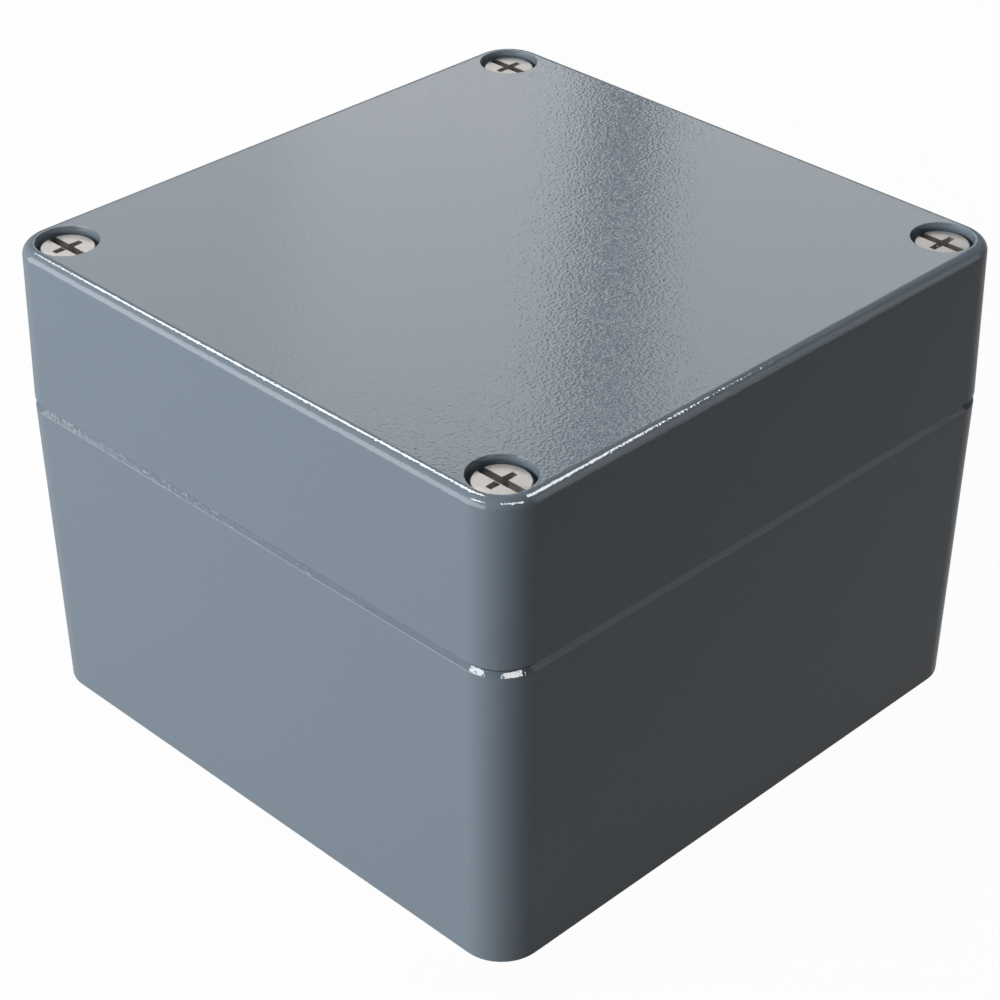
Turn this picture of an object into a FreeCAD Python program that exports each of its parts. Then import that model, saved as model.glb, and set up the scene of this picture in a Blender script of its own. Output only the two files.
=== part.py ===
import FreeCAD, Part
import Sketcher
import math
import os
from types import SimpleNamespace
from FreeCAD import Vector

# Die cast aluminium enclosure: a tapered base, a lid with a gasket, captive lid screws and two earth terminals.
# Origin: centre of the bottom face. X runs along the length, Y along the width, Z up. Millimetres.

SIZES = [
    # Outside
    ("length", 122.0, "outside length at the parting plane"),
    ("width", 120.0, "outside width at the parting plane"),
    ("base_height", 59.5, "bottom face to parting plane"),
    ("lid_height", 30.0, "parting plane to lid top"),
    ("corner_radius", 7.7, "vertical corner edges"),
    ("base_draft", 1.1, "lean of the base walls in degrees"),
    ("lid_draft", 0.6, "lean of the lid walls in degrees"),
    ("lid_top_radius", 2.0, "round on the lid's top edge"),
    ("base_rim_chamfer", 1.0, "chamfer on the base's upper rim"),
    ("lid_rim_chamfer", 0.4, "chamfer on the lid's lower rim"),
    # Walls and hollows
    ("rim_wall", 5.0, "base wall at the parting plane"),
    ("floor_thickness", 4.5, "base floor"),
    ("roof_thickness", 4.0, "lid top plate"),
    ("core_draft", 1.0, "lean of the inner walls in degrees"),
    ("core_corner_radius", 3.5, "inner corners against the outer walls"),
    ("post_corner_radius", 6.0, "corner of each post that faces the hollow"),
    ("floor_bevel", 1.5, "bevel where the inner walls meet the floor"),
    ("roof_bevel", 1.2, "bevel where the inner walls meet the top plate"),
    # Wall fixing shafts in the base posts
    ("shaft_wall", 2.45, "wall between a tapped hole and the fixing shaft beside it"),
    ("shaft_diameter", 11.0, "shaft for a fixing screw's head"),
    ("shaft_floor", 6.0, "material under each shaft"),
    ("fixing_hole", 6.5, "clearance hole for the fixing screw"),
    ("post_wall", 4.5, "wall between shaft and hollow"),
    ("core_pocket", 9.0, "diameter of the cored pockets in the lid posts"),
    ("core_pocket_depth", 20.0, "depth of the cored pockets in the lid posts"),
    # Seal
    ("tongue_inset", 1.8, "hollow edge to middle of the tongue"),
    ("tongue_root", 2.0, "tongue width at its root"),
    ("tongue_tip", 1.6, "tongue width at its tip"),
    ("tongue_height", 1.8, "tongue above the parting plane"),
    ("tongue_play", 0.3, "tongue root to each side of the gasket groove"),
    ("groove_depth", 3.4, "gasket groove above the parting plane"),
    ("groove_lip", 1.6, "lip between the groove and the lid's hollow"),
    ("gasket_side_gap", 0.05, "gasket to each side of its groove"),
    # Lid screws
    ("recess_land", 0.5, "flat between a screw recess and the round on the top edge"),
    ("head_clearance", 0.8, "screw head to the wall of its recess"),
    ("head_diameter", 9.4, "lid screw head"),
    ("head_height", 4.0, "lid screw head"),
    ("head_sunk", 1.15, "head top below the lid top"),
    ("head_chamfer", 0.45, "chamfer on the head's top edge"),
    ("screw_clearance", 0.3, "lid screw thread to its hole in the lid"),
    ("screw_web", 8.0, "lid material under a screw head"),
    ("waist_relief", 0.65, "shank above the thread, below the thread's outside"),
    ("thread_diameter", 6.0, "lid screw thread, outside"),
    ("thread_reach", 10.0, "thread below the parting plane"),
    ("tapped_depth", 14.0, "depth of a tapped hole in a base post"),
    ("thread_clearance", 0.05, "radial play of a screw in its tapped hole"),
    ("rise_margin", 0.35, "free rise of the ring past the last turn"),
    # Drive of the lid screws
    ("slot_width", 1.5, "slot across the head"),
    ("slot_depth", 1.4, "slot below the head top"),
    ("cross_length", 6.15, "cross recess, tip to tip"),
    ("cross_middle", 1.5, "width of a cross wing at the middle"),
    ("cross_end", 1.15, "width of a cross wing at its end"),
    ("cross_depth", 2.6, "cross recess below the head top"),
    ("cross_floor", 1.8, "length of a cross wing at its floor"),
    ("cross_floor_middle", 0.9, "width of a cross wing at the middle of its floor"),
    # Retaining rings
    ("ring_diameter", 9.2, "retaining ring, outside"),
    ("ring_thickness", 1.5, "retaining ring"),
    ("ring_play", 0.1, "ring bore to shank, radial"),
    ("ring_clearance", 0.4, "ring to the bore that it rises in"),
    # Mounting bosses on the floor
    ("boss_from_post", 8.0, "floor boss axis to the posts along X"),
    ("boss_from_wall", 9.0, "floor boss axis to the hollow's wall along Y"),
    ("boss_diameter", 9.0, "floor boss"),
    ("boss_height", 6.0, "floor boss above the floor"),
    ("boss_thread", 4.0, "thread in a floor boss, outside"),
    ("boss_hole_depth", 7.5, "depth of the hole in a floor boss"),
    # Earth terminals
    ("earth_inset", 9.5, "terminal axis to the inner wall at the parting plane"),
    ("earth_boss_height", 8.0, "terminal boss above floor or below roof"),
    ("earth_boss_margin", 0.6, "boss edge past the saddle"),
    ("earth_rib", 6.0, "rib between terminal boss and wall"),
    ("earth_reach", 6.5, "terminal thread in its boss"),
    ("earth_hole_depth", 8.0, "depth of the hole in a terminal boss"),
    ("washer_play", 0.1, "washer bore to screw, radial"),
    ("saddle_plate", 1.2, "sheet of the saddles"),
    ("saddle_lip", 1.6, "saddle lips below the plate"),
    ("saddle_bend", 1.0, "outer round of the saddle bends"),
    ("spring_washer_slit", 0.7, "gap in the spring washers"),
    ("terminal_slot_width", 1.2, "slot in the terminal screws"),
    ("terminal_slot_depth", 1.2, "slot in the terminal screws"),
    ("base_thread", 5.0, "base terminal thread, outside"),
    ("base_head", 8.5, "base terminal screw head"),
    ("base_head_height", 3.3, "base terminal screw head"),
    ("base_saddle", 10.5, "base terminal saddle, square"),
    ("base_flat_washer", 10.0, "base terminal flat washer, outside"),
    ("base_flat_thickness", 1.0, "base terminal flat washer"),
    ("base_spring_washer", 8.7, "base terminal spring washer, outside"),
    ("base_spring_thickness", 1.2, "base terminal spring washer"),
    ("lid_thread", 4.0, "lid terminal thread, outside"),
    ("lid_head", 7.0, "lid terminal screw head"),
    ("lid_head_height", 2.6, "lid terminal screw head"),
    ("lid_saddle", 9.5, "lid terminal saddle, square"),
    ("lid_flat_washer", 9.0, "lid terminal flat washer, outside"),
    ("lid_flat_thickness", 0.8, "lid terminal flat washer"),
    ("lid_spring_washer", 7.2, "lid terminal spring washer, outside"),
    ("lid_spring_thickness", 0.9, "lid terminal spring washer"),
]

# The four corners by their place as seen from above the corner at -X -Y.
CORNERS = {"front": (-1, -1), "left": (-1, 1), "right": (1, -1), "back": (1, 1)}

# Limits for picking out faces and edges
SAME_HEIGHT = 0.001
SAME_PLACE = 1.0
SHORTEST_UPRIGHT = 1.0
STEEPEST_LEAN = 0.1
UPRIGHT_NORMAL = 0.5

doc = FreeCAD.newDocument("enclosure")
sheet = doc.addObject("Spreadsheet::Sheet", "sizes")


class Size:
    # A length kept as its number and as the formula that gives it
    def __init__(self, number, formula):
        self.number = number
        self.formula = formula

    def join(self, sign, other, number):
        return Size(number, "(%s %s %s)" % (self.formula, sign, formula_of(other)))

    def __add__(self, other):
        return self.join("+", other, self.number + number_of(other))

    def __sub__(self, other):
        return self.join("-", other, self.number - number_of(other))

    def __mul__(self, other):
        return self.join("*", other, self.number * number_of(other))

    def __truediv__(self, other):
        return self.join("/", other, self.number / number_of(other))

    def __neg__(self):
        return self * -1


def number_of(size):
    return size.number if isinstance(size, Size) else size


def formula_of(size):
    return size.formula if isinstance(size, Size) else "%g" % size


def read_sizes():
    sizes = {}
    for row, (alias, value, note) in enumerate(SIZES, 1):
        sheet.set("A%d" % row, note)
        sheet.set("B%d" % row, str(value))
        sheet.setAlias("B%d" % row, alias)
        sizes[alias] = Size(value, "<<sizes>>." + alias)
    doc.recompute()
    return SimpleNamespace(**sizes)


def bind(item, name, size):
    item.setExpression(name, formula_of(size))


# Sketches

def sketch_on(body, name, role="XY_Plane", offset=None):
    sketch = body.newObject("Sketcher::SketchObject", name)
    plane = [feature for feature in body.Origin.OriginFeatures if feature.Role == role][0]
    sketch.AttachmentSupport = [(plane, "")]
    sketch.MapMode = "FlatFace"
    if offset is not None:
        bind(sketch, "AttachmentOffset.Base.z", offset)
    return sketch


def dimension(sketch, kind, references, size):
    index = sketch.addConstraint(Sketcher.Constraint(kind, *references, number_of(size)))
    if isinstance(size, Size):
        name = "%s_%d" % (kind.lower(), index)
        sketch.renameConstraint(index, name)
        bind(sketch, "Constraints." + name, size)


def place(sketch, geometry, point, x, y):
    for kind, axis, size in (("DistanceX", -2, x), ("DistanceY", -1, y)):
        if number_of(size) == 0:
            sketch.addConstraint(Sketcher.Constraint("PointOnObject", geometry, point, axis))
        elif number_of(size) > 0:
            dimension(sketch, kind, (-1, 1, geometry, point), size)
        else:
            dimension(sketch, kind, (geometry, point, -1, 1), -size)


def circle(sketch, x, y, diameter):
    centre = Vector(number_of(x), number_of(y), 0)
    geometry = sketch.addGeometry(Part.Circle(centre, Vector(0, 0, 1), number_of(diameter) / 2), False)
    dimension(sketch, "Diameter", (geometry,), diameter)
    place(sketch, geometry, 3, x, y)


def polygon(sketch, corners):
    points = [Vector(number_of(x), number_of(y), 0) for x, y in corners]
    count = len(points)
    lines = []
    for index, point in enumerate(points):
        lines.append(sketch.addGeometry(Part.LineSegment(point, points[(index + 1) % count]), False))
    for index, line in enumerate(lines):
        sketch.addConstraint(Sketcher.Constraint("Coincident", line, 2, lines[(index + 1) % count], 1))
        place(sketch, line, 1, *corners[index])


def rectangle(sketch, half_x, half_y):
    polygon(sketch, [(-half_x, -half_y), (half_x, -half_y), (half_x, half_y), (-half_x, half_y)])


def rounded_loop(sketch, corners):
    # A closed loop of lines along X and Y with an arc at each corner, in the order of the corners
    spots = [Vector(number_of(x), number_of(y), 0) for x, y, radius in corners]
    count = len(corners)
    arcs = []
    for index, (x, y, radius) in enumerate(corners):
        back = (spots[index - 1] - spots[index]).normalize()
        ahead = (spots[(index + 1) % count] - spots[index]).normalize()
        inward = back + ahead
        centre_x = x + radius * round(inward.x)
        centre_y = y + radius * round(inward.y)
        centre = Vector(number_of(centre_x), number_of(centre_y), 0)
        turns_left = back.cross(ahead).z < 0
        first = ahead if turns_left else back
        start = Vector(1, 0, 0).getAngle(first * -1)
        start = -start if first.y > 0 else start
        ring = Part.Circle(centre, Vector(0, 0, 1), number_of(radius))
        arc = sketch.addGeometry(Part.ArcOfCircle(ring, start, start + math.pi / 2), False)
        arcs.append((arc, 1 if turns_left else 2, 2 if turns_left else 1))
        dimension(sketch, "Radius", (arc,), radius)
        place(sketch, arc, 3, centre_x, centre_y)
    for index, (arc, entry, leave) in enumerate(arcs):
        next_arc, next_entry, next_leave = arcs[(index + 1) % count]
        points = [sketch.getPoint(arc, leave), sketch.getPoint(next_arc, next_entry)]
        line = sketch.addGeometry(Part.LineSegment(*points), False)
        sketch.addConstraint(Sketcher.Constraint("Tangent", arc, leave, line, 1))
        sketch.addConstraint(Sketcher.Constraint("Tangent", line, 2, next_arc, next_entry))


# Features

def solid_feature(body, kind, name, profile, **sizes):
    feature = body.newObject("PartDesign::" + kind, name)
    feature.Profile = profile
    for item, size in sizes.items():
        if isinstance(size, Size):
            bind(feature, item, size)
        else:
            setattr(feature, item, size)
    profile.Visibility = False
    doc.recompute()
    return feature


def middle_normal(face):
    first_u, last_u, first_v, last_v = face.ParameterRange
    return face.normalAt((first_u + last_u) / 2, (first_v + last_v) / 2)


def faces_where(feature, test):
    faces = feature.Shape.Faces
    return ["Face%d" % (index + 1) for index, face in enumerate(faces) if test(face, middle_normal(face))]


def edges_where(feature, test):
    return ["Edge%d" % (index + 1) for index, edge in enumerate(feature.Shape.Edges) if test(edge)]


def stands(face, normal):
    return abs(normal.z) < UPRIGHT_NORMAL


def lies_at(item, height):
    box = item.BoundBox
    return abs(box.ZMin - height) < SAME_HEIGHT and abs(box.ZMax - height) < SAME_HEIGHT


def rises(edge):
    box = edge.BoundBox
    return box.ZLength > SHORTEST_UPRIGHT and box.XLength < STEEPEST_LEAN * box.ZLength


def stands_near(edge, x, y):
    # True for an upright edge by the point at x and y in any of the four quarters
    middle = edge.CenterOfMass
    away_x, away_y = abs(abs(middle.x) - x.number), abs(abs(middle.y) - y.number)
    return rises(edge) and away_x < SAME_PLACE and away_y < SAME_PLACE


def dress(body, kind, name, base, edges, size):
    feature = body.newObject("PartDesign::" + kind, name)
    feature.Base = (base, edges)
    bind(feature, "Radius" if kind == "Fillet" else "Size", size)
    doc.recompute()
    return feature


def lean(body, name, base, faces, neutral, angle, backwards):
    # Leans the faces about the plane of the neutral face
    feature = body.newObject("PartDesign::Draft", name)
    feature.Base = (base, faces)
    feature.NeutralPlane = (base, neutral[:1])
    bind(feature, "Angle", angle)
    feature.Reversed = backwards
    doc.recompute()
    return feature


def pipe(body, kind, name, path, section):
    feature = body.newObject("PartDesign::" + kind, name)
    feature.Profile = section
    feature.Spine = path
    path.Visibility = False
    section.Visibility = False
    doc.recompute()
    return feature


# Shared places, worked out from the sizes

s = read_sizes()
parting = s.base_height
lid_top = s.base_height + s.lid_height
roof = lid_top - s.roof_thickness
recess_diameter = s.head_diameter + s.head_clearance * 2
tapped_bore = s.thread_diameter + s.thread_clearance * 2
screw_inset = recess_diameter / 2 + s.recess_land + s.lid_top_radius
screw_x = s.length / 2 - screw_inset
screw_y = s.width / 2 - screw_inset
shaft_x = screw_x
shaft_y = screw_y - tapped_bore / 2 - s.shaft_wall - s.shaft_diameter / 2
core_x = s.length / 2 - s.rim_wall
core_y = s.width / 2 - s.rim_wall
post_x = shaft_x - s.shaft_diameter / 2 - s.post_wall
post_y = shaft_y - s.shaft_diameter / 2 - s.post_wall
boss_x = post_x - s.boss_from_post
boss_y = core_y - s.boss_from_wall
groove_width = s.tongue_root + s.tongue_play * 2
lid_core_offset = s.tongue_inset - groove_width / 2 - s.groove_lip
seal_x = core_x + s.tongue_inset
head_top = lid_top - s.head_sunk
head_seat = head_top - s.head_height
web_bottom = head_seat - s.screw_web
waist_bottom = web_bottom - s.ring_thickness - s.thread_reach - s.rise_margin
screw_tip = parting - s.thread_reach
waist_diameter = s.thread_diameter - s.waist_relief * 2
base_earth_x = -(core_x - s.earth_inset)
lid_earth_x = -(core_x + lid_core_offset - s.earth_inset)

NO_OFFSET = Size(0, "0")


def new_body(name):
    body = doc.addObject("PartDesign::Body", name)
    body.Label = name
    return body


def core_corners(offset):
    # The corners of the hollow, stepped in round the four posts, moved outwards by the offset
    x, y = core_x + offset, core_y + offset
    inner_x, inner_y = post_x + offset, post_y + offset
    corner, post = s.core_corner_radius + offset, s.post_corner_radius - offset
    quadrant = [(x, inner_y, corner), (inner_x, inner_y, post), (inner_x, y, corner)]
    loop = []
    for side_x, side_y in ((1, 1), (-1, 1), (-1, -1), (1, -1)):
        corners = quadrant if side_x * side_y > 0 else quadrant[::-1]
        loop += [(at_x * side_x, at_y * side_y, radius) for at_x, at_y, radius in corners]
    return loop


def hollow(body, name, offset, bottom, bevel, upwards):
    # The hollow of a shell: leaning walls, rounded upright corners and a bevel at its bottom
    outline = sketch_on(body, name + "_outline", offset=parting)
    polygon(outline, [(x, y) for x, y, radius in core_corners(offset)])
    depth = bottom - parting if upwards else parting - bottom
    block = solid_feature(body, "Pocket", name, outline, Length=depth, Reversed=upwards)
    walls = faces_where(block, is_hollow_wall)
    rim = faces_where(block, lambda face, normal: lies_at(face, parting.number))
    block = lean(body, name + "_draft", block, walls, rim, s.core_draft, upwards)
    x, y, inner_x, inner_y = core_x + offset, core_y + offset, post_x + offset, post_y + offset
    corners = edges_where(block, lambda edge: stands_near(edge, x, inner_y) or stands_near(edge, inner_x, y))
    block = dress(body, "Fillet", name + "_corners", block, corners, s.core_corner_radius + offset)
    posts = edges_where(block, lambda edge: stands_near(edge, inner_x, inner_y))
    block = dress(body, "Fillet", name + "_posts", block, posts, s.post_corner_radius - offset)
    edges = edges_where(block, lambda edge: lies_at(edge, bottom.number))
    dress(body, "Chamfer", name + "_bevel", block, edges, bevel)


def corner_circles(sketch, x, y, diameter):
    for side_x, side_y in CORNERS.values():
        circle(sketch, x * side_x, y * side_y, diameter)


def is_hollow_wall(face, normal):
    centre = face.CenterOfMass
    inside = abs(centre.x) < core_x.number + SAME_HEIGHT and abs(centre.y) < core_y.number + SAME_HEIGHT
    return inside and stands(face, normal)


def seal_section(body, half_root, half_tip, low, high):
    # The cross-section of tongue, groove or gasket, where the seal line crosses the X axis
    sketch = sketch_on(body, "seal_section", "XZ_Plane")
    polygon(sketch, [(seal_x - half_root, low), (seal_x + half_root, low),
                     (seal_x + half_tip, high), (seal_x - half_tip, high)])
    return sketch


def seal_path(body):
    sketch = sketch_on(body, "seal_line", offset=parting)
    rounded_loop(sketch, core_corners(s.tongue_inset))
    return sketch


def earth_boss(body, centre_x, wall_x, saddle, thread, level, downwards):
    # A round boss for a terminal, with a rib to the wall beside it, and its tapped hole
    base = sketch_on(body, "earth_boss_outline", offset=level)
    circle(base, centre_x, 0, saddle + s.earth_boss_margin * 2)
    solid_feature(body, "Pad", "earth_boss", base, Length=s.earth_boss_height, Reversed=downwards)
    rib = sketch_on(body, "earth_rib_outline", offset=level)
    half = s.earth_rib / 2
    polygon(rib, [(wall_x, -half), (centre_x, -half), (centre_x, half), (wall_x, half)])
    solid_feature(body, "Pad", "earth_rib", rib, Length=s.earth_boss_height, Reversed=downwards)
    top = level - s.earth_boss_height if downwards else level + s.earth_boss_height
    hole = sketch_on(body, "earth_hole_outline", offset=top)
    circle(hole, centre_x, 0, thread + s.thread_clearance * 2)
    solid_feature(body, "Pocket", "earth_hole", hole, Length=s.earth_hole_depth, Reversed=downwards)


def base_shell():
    body = new_body("base_shell")
    outline = sketch_on(body, "base_outline", offset=parting)
    rectangle(outline, s.length / 2, s.width / 2)
    block = solid_feature(body, "Pad", "base_block", outline, Length=s.base_height, Reversed=True)
    sides = faces_where(block, stands)
    rim = faces_where(block, lambda face, normal: lies_at(face, parting.number))
    block = lean(body, "base_sides_draft", block, sides, rim, s.base_draft, True)
    block = dress(body, "Fillet", "base_corners", block, edges_where(block, rises), s.corner_radius)
    rim_edges = edges_where(block, lambda edge: lies_at(edge, parting.number))
    dress(body, "Chamfer", "base_rim", block, rim_edges, s.base_rim_chamfer)

    hollow(body, "base_hollow", NO_OFFSET, s.floor_thickness, s.floor_bevel, False)
    section = seal_section(body, s.tongue_root / 2, s.tongue_tip / 2, parting, parting + s.tongue_height)
    pipe(body, "AdditivePipe", "sealing_tongue", seal_path(body), section)

    shafts = sketch_on(body, "shaft_outlines", offset=parting)
    corner_circles(shafts, shaft_x, shaft_y, s.shaft_diameter)
    solid_feature(body, "Pocket", "fixing_shafts", shafts, Length=s.base_height - s.shaft_floor)
    fixing = sketch_on(body, "fixing_hole_outlines", offset=s.shaft_floor)
    corner_circles(fixing, shaft_x, shaft_y, s.fixing_hole)
    solid_feature(body, "Pocket", "fixing_holes", fixing, Length=s.shaft_floor)
    tapped = sketch_on(body, "tapped_hole_outlines", offset=parting)
    corner_circles(tapped, screw_x, screw_y, tapped_bore)
    solid_feature(body, "Pocket", "tapped_holes", tapped, Length=s.tapped_depth)

    bosses = sketch_on(body, "boss_outlines", offset=s.floor_thickness)
    corner_circles(bosses, boss_x, boss_y, s.boss_diameter)
    solid_feature(body, "Pad", "floor_bosses", bosses, Length=s.boss_height)
    boss_top = s.floor_thickness + s.boss_height
    boss_bore = s.boss_thread + s.thread_clearance * 2
    holes = sketch_on(body, "boss_hole_outlines", offset=boss_top)
    corner_circles(holes, boss_x, boss_y, boss_bore)
    solid_feature(body, "Pocket", "boss_holes", holes, Length=s.boss_hole_depth)
    earth_boss(body, base_earth_x, -core_x, s.base_saddle, s.base_thread, s.floor_thickness, False)
    return body


def lid_shell():
    body = new_body("lid_shell")
    outline = sketch_on(body, "lid_outline", offset=parting)
    rectangle(outline, s.length / 2, s.width / 2)
    block = solid_feature(body, "Pad", "lid_block", outline, Length=s.lid_height)
    sides = faces_where(block, stands)
    rim = faces_where(block, lambda face, normal: lies_at(face, parting.number))
    block = lean(body, "lid_sides_draft", block, sides, rim, s.lid_draft, False)
    block = dress(body, "Fillet", "lid_corners", block, edges_where(block, rises), s.corner_radius)
    top = edges_where(block, lambda edge: lies_at(edge, lid_top.number))
    block = dress(body, "Fillet", "lid_top_round", block, top, s.lid_top_radius)
    rim_edges = edges_where(block, lambda edge: lies_at(edge, parting.number))
    dress(body, "Chamfer", "lid_rim", block, rim_edges, s.lid_rim_chamfer)

    hollow(body, "lid_hollow", lid_core_offset, roof, s.roof_bevel, True)
    half = groove_width / 2
    section = seal_section(body, half, half, parting, parting + s.groove_depth)
    pipe(body, "SubtractivePipe", "gasket_groove", seal_path(body), section)

    recesses = sketch_on(body, "recess_outlines", offset=lid_top)
    corner_circles(recesses, screw_x, screw_y, recess_diameter)
    solid_feature(body, "Pocket", "screw_recesses", recesses, Length=s.head_sunk + s.head_height)
    holes = sketch_on(body, "screw_hole_outlines", offset=head_seat)
    corner_circles(holes, screw_x, screw_y, s.thread_diameter + s.screw_clearance * 2)
    solid_feature(body, "Pocket", "screw_holes", holes, Length=s.screw_web)
    bores = sketch_on(body, "counterbore_outlines", offset=parting)
    corner_circles(bores, screw_x, screw_y, s.ring_diameter + s.ring_clearance * 2)
    solid_feature(body, "Pocket", "counterbores", bores, Length=web_bottom - parting, Reversed=True)
    pockets = sketch_on(body, "core_pocket_outlines", offset=parting)
    corner_circles(pockets, shaft_x, shaft_y, s.core_pocket)
    solid_feature(body, "Pocket", "core_pockets", pockets, Length=s.core_pocket_depth, Reversed=True)
    earth_boss(body, lid_earth_x, -(core_x + lid_core_offset), s.lid_saddle, s.lid_thread, roof, True)
    return body


def gasket():
    body = new_body("gasket")
    half = groove_width / 2 - s.gasket_side_gap
    section = seal_section(body, half, half, parting + s.tongue_height, parting + s.groove_depth)
    pipe(body, "AdditivePipe", "gasket_cord", seal_path(body), section)
    return body


def turned(body, name, corners):
    # A round piece from its half section, given as radius and height
    section = sketch_on(body, name + "_section", "XZ_Plane")
    polygon(section, corners)
    feature = body.newObject("PartDesign::Revolution", name)
    feature.Profile = section
    feature.ReferenceAxis = (section, ["V_Axis"])
    section.Visibility = False
    doc.recompute()
    return feature


def cross_wing(body, name, along_y):
    # One pair of wings of the cross recess: wide at the head top, short and narrow at its floor
    taper = (s.cross_middle - s.cross_end) / s.cross_length
    floor_end = s.cross_floor_middle - taper * s.cross_floor
    levels = [(s.cross_length, s.cross_middle, s.cross_end, head_top),
              (s.cross_floor, s.cross_floor_middle, floor_end, head_top - s.cross_depth)]
    outlines = []
    for length, middle, end, level in levels:
        sketch = sketch_on(body, "%s_outline_%d" % (name, len(outlines)), offset=level)
        half, centre, tip = length / 2, middle / 2, end / 2
        corners = [(half, -tip), (half, tip), (0, centre), (-half, tip), (-half, -tip), (0, -centre)]
        polygon(sketch, [(-y, x) for x, y in corners] if along_y else corners)
        outlines.append(sketch)
    wing = body.newObject("PartDesign::SubtractiveLoft", name)
    wing.Profile = outlines[0]
    wing.Sections = outlines[1:]
    for sketch in outlines:
        sketch.Visibility = False
    doc.recompute()


def put_at(body, x, y):
    bind(body, "Placement.Base.x", x)
    bind(body, "Placement.Base.y", y)


def lid_screw(name, x, y):
    body = new_body(name)
    head, waist, thread = s.head_diameter / 2, waist_diameter / 2, s.thread_diameter / 2
    shank = turned(body, "shank", [
        (0, head_top), (head, head_top), (head, head_seat), (waist, head_seat), (waist, waist_bottom),
        (thread, waist_bottom), (thread, screw_tip), (0, screw_tip)])
    edge = edges_where(shank, lambda item: lies_at(item, head_top.number))
    dress(body, "Chamfer", "head_edge", shank, edge, s.head_chamfer)
    slot = sketch_on(body, "slot_outline", offset=head_top)
    rectangle(slot, s.slot_width / 2, s.head_diameter)
    solid_feature(body, "Pocket", "slot", slot, Length=s.slot_depth)
    cross_wing(body, "wings_x", False)
    cross_wing(body, "wings_y", True)
    put_at(body, x, y)
    return body


def retaining_ring(name, x, y):
    body = new_body(name)
    inner, outer = waist_diameter / 2 + s.ring_play, s.ring_diameter / 2
    low, high = waist_bottom, waist_bottom + s.ring_thickness
    turned(body, "ring", [(inner, low), (outer, low), (outer, high), (inner, high)])
    put_at(body, x, y)
    return body


def terminal(prefix, centre_x, level, flipped, thread, head, head_height, saddle, flat, spring):
    # A terminal screw with its spring washer, flat washer and saddle, stacked up from the boss face
    bore = thread / 2 + s.washer_play
    flat_diameter, flat_thickness = flat
    spring_diameter, spring_thickness = spring
    plate_top = s.saddle_lip + s.saddle_plate
    flat_top = plate_top + flat_thickness
    spring_top = flat_top + spring_thickness

    screw = new_body(prefix + "_earth_screw")
    turned(screw, "shank", [
        (0, -s.earth_reach), (thread / 2, -s.earth_reach), (thread / 2, spring_top),
        (head / 2, spring_top), (head / 2, spring_top + head_height), (0, spring_top + head_height)])
    slot = sketch_on(screw, "slot_outline", offset=spring_top + head_height)
    rectangle(slot, s.terminal_slot_width / 2, head)
    solid_feature(screw, "Pocket", "slot", slot, Length=s.terminal_slot_depth)

    washer = new_body(prefix + "_earth_spring_washer")
    turned(washer, "ring", [(bore, flat_top), (spring_diameter / 2, flat_top),
                            (spring_diameter / 2, spring_top), (bore, spring_top)])
    slit = sketch_on(washer, "slit_outline", "YZ_Plane")
    half, slant = s.spring_washer_slit / 2, spring_thickness / 2
    polygon(slit, [(-half - slant, flat_top), (half - slant, flat_top),
                   (half + slant, spring_top), (slant - half, spring_top)])
    solid_feature(washer, "Pocket", "slit", slit, Length=spring_diameter)

    plain = new_body(prefix + "_earth_flat_washer")
    turned(plain, "ring", [(bore, plate_top), (flat_diameter / 2, plate_top),
                           (flat_diameter / 2, flat_top), (bore, flat_top)])

    clamp = new_body(prefix + "_earth_saddle")
    outline = sketch_on(clamp, "saddle_outline", "XZ_Plane")
    edge, inner = saddle / 2, saddle / 2 - s.saddle_plate
    polygon(outline, [(-edge, 0), (-inner, 0), (-inner, s.saddle_lip), (inner, s.saddle_lip),
                      (inner, 0), (edge, 0), (edge, plate_top), (-edge, plate_top)])
    bent = solid_feature(clamp, "Pad", "saddle_sheet", outline, Length=saddle, Midplane=True)
    bends = edges_where(bent, lambda item: lies_at(item, plate_top.number)
                        and item.BoundBox.YLength > SAME_PLACE)
    dress(clamp, "Fillet", "bends", bent, bends, s.saddle_bend)
    hole = sketch_on(clamp, "saddle_hole_outline", offset=plate_top)
    circle(hole, 0, 0, bore * 2)
    solid_feature(clamp, "Pocket", "saddle_hole", hole, Length=s.saddle_plate)

    pieces = [screw, washer, plain, clamp]
    for body in pieces:
        if flipped:
            body.Placement = FreeCAD.Placement(Vector(), FreeCAD.Rotation(Vector(1, 0, 0), 180))
        bind(body, "Placement.Base.x", centre_x)
        bind(body, "Placement.Base.z", level)
    return pieces


def build():
    bodies = [base_shell(), lid_shell(), gasket()]
    for corner, (side_x, side_y) in CORNERS.items():
        bodies.append(lid_screw("lid_screw_" + corner, screw_x * side_x, screw_y * side_y))
        bodies.append(retaining_ring("retaining_ring_" + corner, screw_x * side_x, screw_y * side_y))
    bodies += terminal("base", base_earth_x, s.floor_thickness + s.earth_boss_height, False,
                       s.base_thread, s.base_head, s.base_head_height, s.base_saddle,
                       (s.base_flat_washer, s.base_flat_thickness),
                       (s.base_spring_washer, s.base_spring_thickness))
    bodies += terminal("lid", lid_earth_x, roof - s.earth_boss_height, True,
                       s.lid_thread, s.lid_head, s.lid_head_height, s.lid_saddle,
                       (s.lid_flat_washer, s.lid_flat_thickness),
                       (s.lid_spring_washer, s.lid_spring_thickness))
    return bodies


def check(bodies):
    for item in doc.Objects:
        if "Invalid" in item.State or "Error" in item.State:
            raise RuntimeError("%s failed: %s" % (item.Label, item.State))
    for body in bodies:
        if body.Shape.isNull() or not body.Shape.isValid() or len(body.Shape.Solids) != 1:
            raise RuntimeError("%s is not one valid solid" % body.Label)


def export(bodies):
    os.makedirs("parts", exist_ok=True)
    for body in bodies:
        body.Shape.exportStep("parts/%s.step" % body.Label)
        box = body.Shape.BoundBox
        print("%-28s volume %9.1f mm3  z %.2f to %.2f" % (body.Label, body.Shape.Volume, box.ZMin, box.ZMax))


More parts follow.
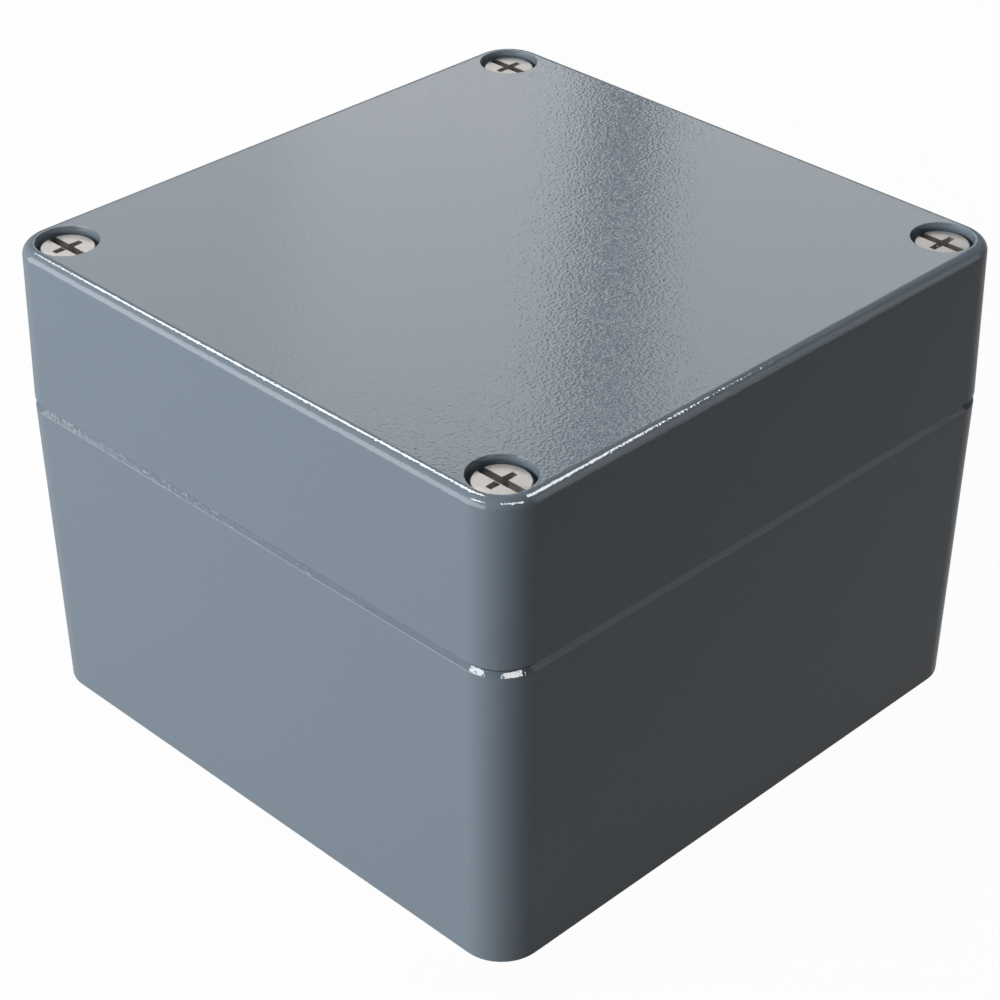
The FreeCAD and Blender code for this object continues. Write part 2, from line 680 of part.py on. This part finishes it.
parts = build()
doc.recompute()
check(parts)
export(parts)
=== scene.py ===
import math
import bmesh
import bpy
from mathutils import Matrix, Vector


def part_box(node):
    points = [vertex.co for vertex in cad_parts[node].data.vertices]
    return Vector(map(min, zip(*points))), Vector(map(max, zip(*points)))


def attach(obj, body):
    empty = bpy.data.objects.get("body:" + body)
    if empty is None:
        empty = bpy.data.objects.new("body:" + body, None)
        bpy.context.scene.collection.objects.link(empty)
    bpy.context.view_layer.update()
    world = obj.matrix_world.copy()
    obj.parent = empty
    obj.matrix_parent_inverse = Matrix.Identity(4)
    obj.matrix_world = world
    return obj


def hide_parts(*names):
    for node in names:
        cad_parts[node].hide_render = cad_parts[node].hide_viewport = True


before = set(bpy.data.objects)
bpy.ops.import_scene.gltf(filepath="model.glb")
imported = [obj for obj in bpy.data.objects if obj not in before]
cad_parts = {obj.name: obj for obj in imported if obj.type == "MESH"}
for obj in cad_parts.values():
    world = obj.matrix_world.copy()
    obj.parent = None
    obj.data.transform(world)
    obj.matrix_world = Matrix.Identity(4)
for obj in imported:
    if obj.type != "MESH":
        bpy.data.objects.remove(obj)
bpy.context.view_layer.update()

# Painted die cast aluminium box with a screwed lid. Lengths are in metres, written as millimetres times mm
mm = 0.001
corners = ("front", "left", "right", "back")
lidLow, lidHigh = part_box("lid_shell")
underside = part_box("base_shell")[0].z
parting = lidLow.z
lidTop = lidHigh.z
halfLength = lidHigh.x
halfWidth = lidHigh.y
normalWeight = 80  # how much large faces outweigh small ones in the shading
spinMerge = 0.001 * mm


def selectOnly(piece):
    bpy.ops.object.select_all(action="DESELECT")
    piece.select_set(True)
    bpy.context.view_layer.objects.active = piece


def editMode(piece, kind="VERT"):
    selectOnly(piece)
    bpy.ops.object.mode_set(mode="EDIT")
    bpy.ops.mesh.select_mode(type=kind)
    bpy.ops.mesh.select_all(action="DESELECT")


def objectMode():
    bpy.ops.object.mode_set(mode="OBJECT")


def pickVertices(piece, test):
    mesh = bmesh.from_edit_mesh(piece.data)
    for vertex in mesh.verts:
        vertex.select = test(vertex.co)
    mesh.select_flush_mode()
    bmesh.update_edit_mesh(piece.data)


def pickFaces(piece, test):
    mesh = bmesh.from_edit_mesh(piece.data)
    for face in mesh.faces:
        face.select_set(test(face))
    bmesh.update_edit_mesh(piece.data)


def pickAll():
    bpy.ops.mesh.select_all(action="SELECT")


def applyModifier(piece, kind, **settings):
    selectOnly(piece)
    modifier = piece.modifiers.new(kind.lower(), kind)
    for name, value in settings.items():
        setattr(modifier, name, value)
    bpy.ops.object.modifier_apply(modifier=modifier.name)


def smoothPiece(piece, angle):
    selectOnly(piece)
    bpy.ops.object.shade_smooth_by_angle(angle=math.radians(angle))
    applyModifier(piece, "WEIGHTED_NORMAL", keep_sharp=True, weight=normalWeight)


def ownCopy(piece, name, shift):
    # A second piece of the same form, with its own mesh moved by the shift
    copy = bpy.data.objects.new(name, piece.data.copy())
    bpy.context.scene.collection.objects.link(copy)
    copy.data.transform(Matrix.Translation(shift))
    return copy


def linearColour(hexText):
    # sRGB hex to the linear values that the shader reads
    values = [int(hexText[at:at + 2], 16) / 255 for at in (1, 3, 5)]
    return [v / 12.92 if v <= 0.04045 else ((v + 0.055) / 1.055) ** 2.4 for v in values] + [1.0]


def addNode(material, kind, settings=None, links=None):
    # Settings are attributes or input sockets by name, links are input sockets fed by an output
    node = material.node_tree.nodes.new(kind)
    for name, value in (settings or {}).items():
        if name in node.inputs:
            node.inputs[name].default_value = value
        else:
            setattr(node, name, value)
    for name, output in (links or {}).items():
        material.node_tree.links.new(output, node.inputs[name])
    return node


def newMaterial(name):
    material = bpy.data.materials.new(name)
    material.use_nodes = True
    material.node_tree.nodes.clear()
    return material


def finishMaterial(material, shader):
    addNode(material, "ShaderNodeOutputMaterial", links={"Surface": shader.outputs[0]})
    return material


coat = {
    "colour": "#8594A1",
    "speckle": "#81909C",
    "roughness": 0.06,
    "ior": 1.52,
    "peelWidth": 0.52 * mm,
    "peelHeight": 0.023 * mm,
    "peelWander": 0.3,
    "grainWidth": 0.25 * mm,
}


def powderCoat():
    # Polyester powder coat, sprayed and baked: glossy, with the low wandering ripples of an orange peel
    material = newMaterial("powderCoatBlueGrey")
    place = addNode(material, "ShaderNodeTexCoord").outputs["Object"]
    peel = addNode(material, "ShaderNodeTexNoise",
                   {"Scale": 1 / coat["peelWidth"], "Detail": 0.0, "Distortion": coat["peelWander"]},
                   {"Vector": place})
    grain = addNode(material, "ShaderNodeTexNoise", {"Scale": 1 / coat["grainWidth"], "Detail": 1.0},
                    {"Vector": place})
    tint = addNode(material, "ShaderNodeMix", {"data_type": "RGBA"}, {"Factor": grain.outputs["Fac"]})
    tint.inputs["A"].default_value = linearColour(coat["colour"])
    tint.inputs["B"].default_value = linearColour(coat["speckle"])
    bump = addNode(material, "ShaderNodeBump", {"Strength": 1.0, "Distance": coat["peelHeight"]},
                   {"Height": peel.outputs["Fac"]})
    shader = addNode(material, "ShaderNodeBsdfPrincipled",
                     {"Roughness": coat["roughness"], "IOR": coat["ior"]},
                     {"Normal": bump.outputs["Normal"]})
    material.node_tree.links.new(tint.outputs["Result"], shader.inputs["Base Color"])
    return finishMaterial(material, shader)


casting = {
    "colour": "#B4B6B7",
    "shade": "#9FA2A4",
    "roughness": 0.46,
    "mottle": 2.5 * mm,
    "skin": 0.4 * mm,
    "skinHeight": 0.02 * mm,
    "skinStrength": 0.5,
}


def bareCasting():
    # Die cast aluminium alloy left bare inside the box: a dull, slightly mottled casting skin
    material = newMaterial("dieCastAluminiumBare")
    place = addNode(material, "ShaderNodeTexCoord").outputs["Object"]
    mottle = addNode(material, "ShaderNodeTexNoise", {"Scale": 1 / casting["mottle"], "Detail": 3.0},
                     {"Vector": place})
    skin = addNode(material, "ShaderNodeTexNoise", {"Scale": 1 / casting["skin"], "Detail": 2.0},
                   {"Vector": place})
    tint = addNode(material, "ShaderNodeMix", {"data_type": "RGBA"}, {"Factor": mottle.outputs["Fac"]})
    tint.inputs["A"].default_value = linearColour(casting["colour"])
    tint.inputs["B"].default_value = linearColour(casting["shade"])
    bump = addNode(material, "ShaderNodeBump",
                   {"Strength": casting["skinStrength"], "Distance": casting["skinHeight"]},
                   {"Height": skin.outputs["Fac"]})
    shader = addNode(material, "ShaderNodeBsdfPrincipled",
                     {"Roughness": casting["roughness"], "Metallic": 1.0},
                     {"Normal": bump.outputs["Normal"]})
    material.node_tree.links.new(tint.outputs["Result"], shader.inputs["Base Color"])
    return finishMaterial(material, shader)


smallFinishes = {
    # Steel, turned and tumbled: a warm satin grey
    "stainlessSteelTumbled": {"colour": "#B7B3AF", "roughness": 0.38, "metallic": 1.0,
                              "grainWidth": 0.2 * mm, "grainHeight": 0.004 * mm},
    # Moulded nylon: off-white and slightly waxy
    "polyamideNatural": {"colour": "#DAD5C6", "roughness": 0.45, "metallic": 0.0,
                         "grainWidth": 0.5 * mm, "grainHeight": 0.004 * mm},
    # Foamed rubber: black and matt, with a fine skin
    "siliconeRubberBlack": {"colour": "#26272A", "roughness": 0.72, "metallic": 0.0,
                            "grainWidth": 0.3 * mm, "grainHeight": 0.02 * mm},
    # Steel with a zinc plating: bright and slightly blue
    "zincPlatedSteel": {"colour": "#C3C6C8", "roughness": 0.28, "metallic": 1.0,
                        "grainWidth": 0.3 * mm, "grainHeight": 0.004 * mm},
    # Stamped from sheet: a dull yellow metal
    "stampedBrass": {"colour": "#BFA164", "roughness": 0.34, "metallic": 1.0,
                     "grainWidth": 0.3 * mm, "grainHeight": 0.004 * mm},
}
grainStrength = 0.6


def smallFinish(name):
    # The finish of a small part: a colour, with a fine grain in the surface
    finish = smallFinishes[name]
    material = newMaterial(name)
    place = addNode(material, "ShaderNodeTexCoord").outputs["Object"]
    grain = addNode(material, "ShaderNodeTexNoise", {"Scale": 1 / finish["grainWidth"], "Detail": 2.0},
                    {"Vector": place})
    bump = addNode(material, "ShaderNodeBump",
                   {"Strength": grainStrength, "Distance": finish["grainHeight"]},
                   {"Height": grain.outputs["Fac"]})
    shader = addNode(material, "ShaderNodeBsdfPrincipled",
                     {"Roughness": finish["roughness"], "Metallic": finish["metallic"],
                      "Base Color": linearColour(finish["colour"])},
                     {"Normal": bump.outputs["Normal"]})
    return finishMaterial(material, shader)


coatMaterial = powderCoat()
castingMaterial = bareCasting()
smallMaterials = {name: smallFinish(name) for name in smallFinishes}
print("materials made")


# The two shells are merged copies of the castings, with their hard edges eased as a coat of paint does
shell = {
    "merge": 0.002 * mm,
    "flatAngle": 0.2,
    "sharpAngle": 30.0,
    "easedEdge": 0.12 * mm,
    "easedSteps": 2,
    "cornerRadius": 7.7 * mm,
    "coatDepth": 4.2 * mm,  # how far in from the sides the coat reaches
    "skinDepth": 0.2 * mm,  # the same from the top and from the underside
    "recessReach": 5.8 * mm,
    "recessDepth": 5.3 * mm,
    "levelMargin": 0.05 * mm,
    "flatNormal": 0.9,
}


def depthInside(at):
    # How far a place is inside the outline of the box, seen from above
    radius = shell["cornerRadius"]
    aside = max(abs(at.x) - halfLength + radius, 0), max(abs(at.y) - halfWidth + radius, 0)
    return radius - math.hypot(*aside)


def shellCopy(node, name):
    piece = bpy.data.objects.new(name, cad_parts[node].data.copy())
    bpy.context.scene.collection.objects.link(piece)
    piece.data.materials.clear()
    piece.data.materials.append(coatMaterial)
    piece.data.materials.append(castingMaterial)
    editMode(piece, "EDGE")
    pickAll()
    bpy.ops.mesh.remove_doubles(threshold=shell["merge"])
    bpy.ops.mesh.dissolve_limited(angle_limit=math.radians(shell["flatAngle"]))
    objectMode()
    return piece


rim = {
    "chamfer": 1.0 * mm,
    "widened": 0.3 * mm,
    "round": 0.12 * mm,
    "roundSteps": 4,
    "groove": 0.42 * mm,
    "grooveDepth": 0.3 * mm,
    # Where its corners and faces are found, as depths inside the outline
    "upperDepths": (0.5 * mm, 1.5 * mm),
    "faceDepths": (0.5 * mm, 1.6 * mm),
    "lowerDepth": 0.3 * mm,
    "lowerMargin": 0.1 * mm,
    "slopeNormals": (0.5, 0.9),
}


def within(value, limits):
    return limits[0] < value < limits[1]


def softenRim(piece):
    # The chamfer below the parting line, a little wider and rounded into the wall
    low, widened = parting - rim["chamfer"], rim["widened"]
    editMode(piece)
    pickVertices(piece, lambda at: abs(at.z - parting) < shell["levelMargin"]
                 and within(depthInside(at), rim["upperDepths"]))
    shrink = 1 - widened / halfLength
    bpy.ops.transform.resize(value=(shrink, shrink, 1), center_override=(0, 0, 0))
    pickVertices(piece, lambda at: abs(at.z - low) < rim["lowerMargin"]
                 and depthInside(at) < rim["lowerDepth"])
    bpy.ops.transform.translate(value=(0, 0, -widened))
    bpy.ops.mesh.select_mode(type="EDGE")
    bpy.ops.mesh.bevel(offset=rim["round"], segments=rim["roundSteps"], clamp_overlap=False)
    # The shadow gap under the lid: the upper end of the chamfer is sunk
    lip = parting - rim["groove"]
    pickAll()
    bpy.ops.mesh.bisect(plane_co=(0, 0, lip), plane_no=(0, 0, 1))
    bpy.ops.mesh.select_mode(type="FACE")
    bpy.ops.mesh.select_all(action="DESELECT")
    pickFaces(piece, lambda face: face.calc_center_median().z > lip
              and within(face.normal.z, rim["slopeNormals"])
              and within(depthInside(face.calc_center_median()), rim["faceDepths"]))
    bpy.ops.mesh.extrude_region_move(TRANSFORM_OT_translate={"value": (0, 0, -rim["grooveDepth"])})
    objectMode()


def easeEdges(piece):
    editMode(piece, "EDGE")
    bpy.ops.mesh.edges_select_sharp(sharpness=math.radians(shell["sharpAngle"]))
    bpy.ops.mesh.bevel(offset=shell["easedEdge"], segments=shell["easedSteps"], clamp_overlap=True)
    objectMode()
    smoothPiece(piece, shell["sharpAngle"])


def placeShell(piece, node, body):
    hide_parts(node)
    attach(piece, body)


def screwAxis(corner):
    low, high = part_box("lid_screw_" + corner)
    return Vector(((low.x + high.x) / 2, (low.y + high.y) / 2, 0))


screwAxes = {corner: screwAxis(corner) for corner in corners}


def isCoated(face):
    # True for the outside of the box and for the screw recesses. The faces of the joint stay bare
    centre, normal = face.center, face.normal
    if abs(centre.z - parting) < shell["levelMargin"] and abs(normal.z) > shell["flatNormal"]:
        return False
    if min(halfLength - abs(centre.x), halfWidth - abs(centre.y)) < shell["coatDepth"]:
        return True
    if centre.z < underside + shell["skinDepth"] or centre.z > lidTop - shell["skinDepth"]:
        return True
    if centre.z < lidTop - shell["recessDepth"]:
        return False
    aside = [(centre - axis).xy.length for axis in screwAxes.values()]
    return min(aside) < shell["recessReach"]


def paintShell(piece):
    for face in piece.data.polygons:
        face.material_index = 0 if isCoated(face) else 1


lidPiece = shellCopy("lid_shell", "lid_casting")
basePiece = shellCopy("base_shell", "base_casting")
softenRim(basePiece)
for piece, node, body in ((lidPiece, "lid_shell", "lid"), (basePiece, "base_shell", "base")):
    easeEdges(piece)
    placeShell(piece, node, body)
    paintShell(piece)
print("shells made:", len(lidPiece.data.polygons), len(basePiece.data.polygons), "faces")


def turnedPiece(name, profile, steps):
    # A round piece about the Z axis, from its profile of radius and height
    bpy.ops.object.select_all(action="DESELECT")
    radius, height = profile[0]
    bpy.ops.mesh.primitive_plane_add(size=mm, location=(radius, 0, height))
    piece = bpy.context.object
    piece.name = name
    bpy.ops.object.transform_apply(location=True, rotation=True, scale=True)
    editMode(piece)
    pickAll()
    bpy.ops.mesh.merge(type="CENTER")
    for nextRadius, nextHeight in profile[1:]:
        bpy.ops.mesh.extrude_region_move(
            TRANSFORM_OT_translate={"value": (nextRadius - radius, 0, nextHeight - height)})
        radius, height = nextRadius, nextHeight
    pickAll()
    bpy.ops.mesh.spin(steps=steps, angle=math.tau, center=(0, 0, 0), axis=(0, 0, 1))
    pickAll()
    bpy.ops.mesh.remove_doubles(threshold=spinMerge)
    bpy.ops.mesh.normals_make_consistent(inside=False)
    objectMode()
    return piece


thread = {
    "pitch": 1.0 * mm,
    "depth": 0.55 * mm,
    "crest": 2.98 * mm,
    "sunk": 0.05 * mm,  # how far its foot reaches into the core
    "runIn": 0.3 * mm,
    "steps": 28,
    # Heights of the crest's two edges and of the upper foot, as parts of the pitch
    "crestFrom": 0.42,
    "crestTo": 0.54,
    "upperFoot": 0.96,
}


def threadRidge(name, low, high, root):
    # The helical ridge of a thread, as a closed coil round its core
    bpy.ops.object.select_all(action="DESELECT")
    bpy.ops.mesh.primitive_plane_add(size=mm, location=(0, 0, 0))
    ridge = bpy.context.object
    ridge.name = name
    pitch, crest = thread["pitch"], thread["crest"]
    # In the order of a plane's vertices, row by row
    section = [(root, 0), (crest, thread["crestFrom"] * pitch), (root, thread["upperFoot"] * pitch),
               (crest, thread["crestTo"] * pitch)]
    for vertex, (radius, height) in zip(ridge.data.vertices, section):
        vertex.co = (radius, 0, low + height)
    turns = int((high - low) / pitch) - 1
    editMode(ridge, "FACE")
    pickAll()
    bpy.ops.mesh.delete(type="ONLY_FACE")
    objectMode()
    applyModifier(ridge, "SCREW", angle=math.tau, screw_offset=pitch, iterations=turns, steps=thread["steps"],
                  render_steps=thread["steps"], use_merge_vertices=False, use_normal_calculate=True)
    editMode(ridge)
    pickAll()
    bpy.ops.mesh.fill_holes(sides=4)
    bpy.ops.mesh.normals_make_consistent(inside=False)
    objectMode()
    return ridge


def joinPieces(piece, extra):
    selectOnly(piece)
    extra.select_set(True)
    bpy.ops.object.join()


def cut(piece, cutter):
    applyModifier(piece, "BOOLEAN", operation="DIFFERENCE", solver="EXACT", object=cutter)
    bpy.data.objects.remove(cutter)


def blockCutter(length, width, low, high):
    bpy.ops.object.select_all(action="DESELECT")
    bpy.ops.mesh.primitive_cube_add(size=1, location=(0, 0, (low + high) / 2),
                                    scale=(length, width, high - low))
    bpy.ops.object.transform_apply(location=True, rotation=True, scale=True)
    return bpy.context.object


lidScrew = {
    "chamfer": 0.16 * mm,
    "softness": 0.04 * mm,  # rounds the two edges of that chamfer
    "headHeight": 4.0 * mm,
    "seatEdge": 0.15 * mm,
    "waist": 2.35 * mm,
    "waistSlope": 0.3 * mm,
    "threadTop": 5.0 * mm,  # above the parting line
    "tipHeight": 0.4 * mm,
    "tipNarrowed": 0.6 * mm,
    "slotWidth": 1.5 * mm,
    "slotDepth": 1.4 * mm,
    "wingLength": 5.9 * mm,
    "wingMiddle": 1.5 * mm,
    "wingEnd": 1.2 * mm,
    "wingFloor": 4.6 * mm,
    "wingFloorWidth": 1.1 * mm,
    "wingDepth": 2.6 * mm,
    "above": 0.5 * mm,  # how far the cutters stand out of the head
    "facets": 96,
    "sharpAngle": 28,
}


def wingCutter(top, turned):
    # One pair of wings of the cross recess: a block narrowed at its ends and at its floor
    depth = lidScrew["wingDepth"]
    cutter = blockCutter(lidScrew["wingLength"], lidScrew["wingMiddle"], top - depth, top + lidScrew["above"])
    editMode(cutter)
    pickAll()
    bpy.ops.mesh.bisect(plane_co=(0, 0, 0), plane_no=(1, 0, 0))
    bpy.ops.mesh.select_all(action="DESELECT")
    pickVertices(cutter, lambda at: abs(at.x) > lidScrew["wingLength"] / 4)
    bpy.ops.transform.resize(value=(1, lidScrew["wingEnd"] / lidScrew["wingMiddle"], 1))
    pickVertices(cutter, lambda at: at.z < top - depth / 2)
    bpy.ops.transform.resize(value=(lidScrew["wingFloor"] / lidScrew["wingLength"],
                                    lidScrew["wingFloorWidth"] / lidScrew["wingMiddle"], 1))
    if turned:
        pickAll()
        bpy.ops.transform.rotate(value=math.pi / 2, orient_axis="Z", center_override=(0, 0, 0))
    objectMode()
    return cutter


def makeLidScrew():
    low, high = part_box("lid_screw_front")
    top, tip = high.z, low.z
    head = (high.x - low.x) / 2
    seat = top - lidScrew["headHeight"]
    threadTop = parting + lidScrew["threadTop"]
    root = thread["crest"] - thread["depth"]
    chamfer, soft, waist = lidScrew["chamfer"], lidScrew["softness"], lidScrew["waist"]
    screw = turnedPiece("lidScrewMaster", [
        (0, top), (head - chamfer - 2 * soft, top), (head - chamfer, top - soft / 2),
        (head - soft, top - chamfer + soft / 2), (head, top - chamfer - soft),
        (head, seat + lidScrew["seatEdge"]), (head - lidScrew["seatEdge"], seat), (waist, seat),
        (waist, threadTop + lidScrew["waistSlope"]), (root, threadTop), (root, tip + lidScrew["tipHeight"]),
        (root - lidScrew["tipNarrowed"], tip), (0, tip)], lidScrew["facets"])
    cut(screw, blockCutter(lidScrew["slotWidth"], 3 * head, top - lidScrew["slotDepth"],
                           top + lidScrew["above"]))
    cut(screw, wingCutter(top, False))
    cut(screw, wingCutter(top, True))
    ridge = threadRidge("lidScrewThread", tip + thread["runIn"], threadTop, root - thread["sunk"])
    joinPieces(screw, ridge)
    screw.data.materials.clear()
    screw.data.materials.append(smallMaterials["stainlessSteelTumbled"])
    smoothPiece(screw, lidScrew["sharpAngle"])
    return screw


screwMaster = makeLidScrew()
for corner in corners:
    screwPiece = ownCopy(screwMaster, "lid_screw_threaded_" + corner, screwAxes[corner])
    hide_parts("lid_screw_" + corner)
    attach(screwPiece, "screw_" + corner)
bpy.data.objects.remove(screwMaster)
print("lid screws made")


def keepNode(node, finish):
    # Doubled corners are joined and flat faces stay flat, so that round faces shade smoothly
    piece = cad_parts[node]
    piece.data.materials.clear()
    piece.data.materials.append(smallMaterials[finish])
    for face in piece.data.polygons:
        face.use_smooth = True
        face.material_index = 0
    weld = piece.modifiers.new("weld", "WELD")
    weld.merge_threshold = shell["merge"]
    split = piece.modifiers.new("split", "EDGE_SPLIT")
    split.split_angle = math.radians(shell["sharpAngle"])


# The small parts keep the form that they have in model.glb
keepNode("gasket", "siliconeRubberBlack")
for corner in corners:
    keepNode("retaining_ring_" + corner, "polyamideNatural")
for place in ("base", "lid"):
    keepNode(place + "_earth_screw", "zincPlatedSteel")
    keepNode(place + "_earth_spring_washer", "zincPlatedSteel")
    keepNode(place + "_earth_flat_washer", "zincPlatedSteel")
    keepNode(place + "_earth_saddle", "stampedBrass")
print("small parts finished")


def backdropMix(material, plain, mirrored, seen):
    # What a diffuse ray, a reflected or transmitted ray and the camera each find
    path = addNode(material, "ShaderNodeLightPath")
    either = addNode(material, "ShaderNodeMath", {"operation": "MAXIMUM"})
    material.node_tree.links.new(path.outputs["Is Glossy Ray"], either.inputs[0])
    material.node_tree.links.new(path.outputs["Is Transmission Ray"], either.inputs[1])
    inner = addNode(material, "ShaderNodeMixShader", None, {"Fac": either.outputs[0]})
    outer = addNode(material, "ShaderNodeMixShader", None, {"Fac": path.outputs["Is Camera Ray"]})
    for mix, first, second in ((inner, plain, mirrored), (outer, inner, seen)):
        material.node_tree.links.new(first.outputs[0], mix.inputs[1])
        material.node_tree.links.new(second.outputs[0], mix.inputs[2])
    return outer


# The gap keeps the floor from flickering with the underside of the box
floorSettings = {"size": 6.0, "gap": 0.05 * mm, "colour": "#88898A", "shadow": 0.035, "mirrored": 0.37}


def makeFloor():
    bpy.ops.object.select_all(action="DESELECT")
    bpy.ops.mesh.primitive_plane_add(size=floorSettings["size"], location=(0, 0, -floorSettings["gap"]))
    floor = bpy.context.object
    floor.name = "floor"
    material = newMaterial("paleFloor")
    # The camera sees white with a faint shadow, the box is lit by a grey sheet and mirrors a darker one
    white = addNode(material, "ShaderNodeEmission", {"Strength": 1.0})
    lit = addNode(material, "ShaderNodeBsdfDiffuse", {"Color": linearColour("#FFFFFF")})
    seen = addNode(material, "ShaderNodeMixShader", {"Fac": 1 - floorSettings["shadow"]})
    material.node_tree.links.new(lit.outputs[0], seen.inputs[1])
    material.node_tree.links.new(white.outputs[0], seen.inputs[2])
    mirrored = addNode(material, "ShaderNodeEmission", {"Strength": floorSettings["mirrored"]})
    plain = addNode(material, "ShaderNodeBsdfDiffuse", {"Color": linearColour(floorSettings["colour"])})
    finishMaterial(material, backdropMix(material, plain, mirrored, seen))
    floor.data.materials.append(material)


# Each lamp is a flat panel: the two ends of its middle line and the place that it faces in millimetres,
# its height across that line, and its brightness, where 1 is the white of the picture. A card is only seen
# in reflections, and a fill is never seen in them. The keyCard is what reflections show of the keyPanel,
# and it hangs 20 mm in front, because of two lamps in one plane only one is found
lights = {
    "keyPanel": {"from": (-1060, -210, 280), "to": (-567, 982, 280), "faces": (0, 0, 280), "height": 560,
                 "bright": 4.6, "fill": True},
    "keyCard": {"from": (-1042, -218, 280), "to": (-549, 974, 280), "faces": (0, 0, 280), "height": 560,
                "bright": 3.1, "card": True},
    "backPanelFarLeft": {"from": (665, 1173, 769), "to": (812, 1026, 778), "faces": (-160, 160, 775),
                         "height": 480, "bright": 1.4},
    "backPanelLeft": {"from": (812, 1026, 778), "to": (960, 878, 788), "faces": (-12, 12, 784),
                      "height": 480, "bright": 1.8},
    "backPanelRight": {"from": (991, 848, 775), "to": (1195, 643, 788), "faces": (153, -153, 780),
                       "height": 480, "bright": 1.65},
    "topFill": {"from": (-150, 20, 1000), "to": (190, 20, 1000), "faces": (20, 20, 0), "height": 340,
                "bright": 6.5, "fill": True},
    "rearFill": {"from": (1150, -250, 420), "to": (900, 650, 420), "faces": (0, 0, 100), "height": 500,
                 "bright": 1.6, "fill": True},
    "topLeftStrip": {"from": (150, 345, 790), "to": (-50, 815, 790), "faces": (50, 580, 0), "height": 230,
                     "bright": 16.0, "card": True},
    "topRightStrip": {"from": (320, -215, 790), "to": (585, -258, 790), "faces": (452, -236, 0),
                      "height": 340, "bright": 15.0, "card": True},
    "frontRightCard": {"from": (-379, -401, 760), "to": (46, -767, 760), "faces": (-166, -584, 0),
                       "height": 180, "bright": 15.0, "card": True},
    "frontLeftCard": {"from": (-775, 490, 760), "to": (-652, -10, 760), "faces": (-713, 240, 0),
                      "height": 190, "bright": 15.0, "card": True},
    "rightCard": {"from": (470, -870, 420), "to": (870, -620, 420), "faces": (0, 0, 420), "height": 840,
                  "bright": 0.8, "card": True},
}


def makeLights():
    for name, settings in lights.items():
        start, end, aim = (Vector(settings[key]) * mm for key in ("from", "to", "faces"))
        lamp = bpy.data.lights.new(name, "AREA")
        lamp.shape = "RECTANGLE"
        lamp.size = (end - start).length
        lamp.size_y = settings["height"] * mm
        lamp.energy = settings["bright"] * math.pi * lamp.size * lamp.size_y
        holder = bpy.data.objects.new(name, lamp)
        bpy.context.scene.collection.objects.link(holder)
        place, along = (start + end) / 2, (end - start).normalized()
        away = place - aim
        away = (away - along * away.dot(along)).normalized()
        turn = Matrix((along, away.cross(along), away)).transposed()
        holder.matrix_world = Matrix.Translation(place) @ turn.to_4x4()
        holder.visible_camera = False
        holder.visible_diffuse = "card" not in settings
        holder.visible_glossy = "fill" not in settings


room = {"colour": "#E6EAEE", "light": 0.03, "mirrored": 0.3}


def makeWorld():
    world = bpy.data.worlds.new("studio")
    bpy.context.scene.world = world
    world.use_nodes = True
    world.node_tree.nodes.clear()
    tint = linearColour(room["colour"])
    plain = addNode(world, "ShaderNodeBackground", {"Color": tint, "Strength": room["light"]})
    mirrored = addNode(world, "ShaderNodeBackground", {"Color": tint, "Strength": room["mirrored"]})
    seen = addNode(world, "ShaderNodeBackground", {"Color": linearColour("#FFFFFF"), "Strength": 1.0})
    mix = backdropMix(world, plain, mirrored, seen)
    addNode(world, "ShaderNodeOutputWorld", links={"Surface": mix.outputs[0]})


# The camera's place and lens, fitted to the corners of the box in the photo
view = {
    "azimuth": -45.1164,
    "elevation": 32.1728,
    "roll": 0.0621,
    "aimHeight": 45 * mm,
    "distance": 474.971 * mm,
    "focalPixels": 2661.37,
    "centrePixels": (505.434, 461.14),
    "imageSize": 1000,
    "sensor": 36.0,
    "nearest": 10 * mm,
}


def makeCamera():
    azimuth, elevation, roll = (math.radians(view[key]) for key in ("azimuth", "elevation", "roll"))
    back = Vector((math.sin(azimuth) * math.cos(elevation), -math.cos(azimuth) * math.cos(elevation),
                   math.sin(elevation)))
    level = Vector((math.cos(azimuth), math.sin(azimuth), 0))
    rise = back.cross(level)
    right = level * math.cos(roll) + rise * math.sin(roll)
    up = rise * math.cos(roll) - level * math.sin(roll)
    place = Vector((0, 0, view["aimHeight"])) + back * view["distance"]
    camera = bpy.data.objects.new("camera", bpy.data.cameras.new("camera"))
    bpy.context.scene.collection.objects.link(camera)
    turn = Matrix((right, up, back)).transposed()
    camera.matrix_world = Matrix.Translation(place) @ turn.to_4x4()
    size = view["imageSize"]
    camera.data.sensor_width = view["sensor"]
    camera.data.lens = view["focalPixels"] / size * view["sensor"]
    camera.data.shift_x = (size / 2 - view["centrePixels"][0]) / size
    camera.data.shift_y = (view["centrePixels"][1] - size / 2) / size
    camera.data.clip_start = view["nearest"]
    bpy.context.scene.camera = camera


makeFloor()
makeLights()
makeWorld()
makeCamera()
bpy.context.scene.view_settings.view_transform = "Standard"
print("stage made")
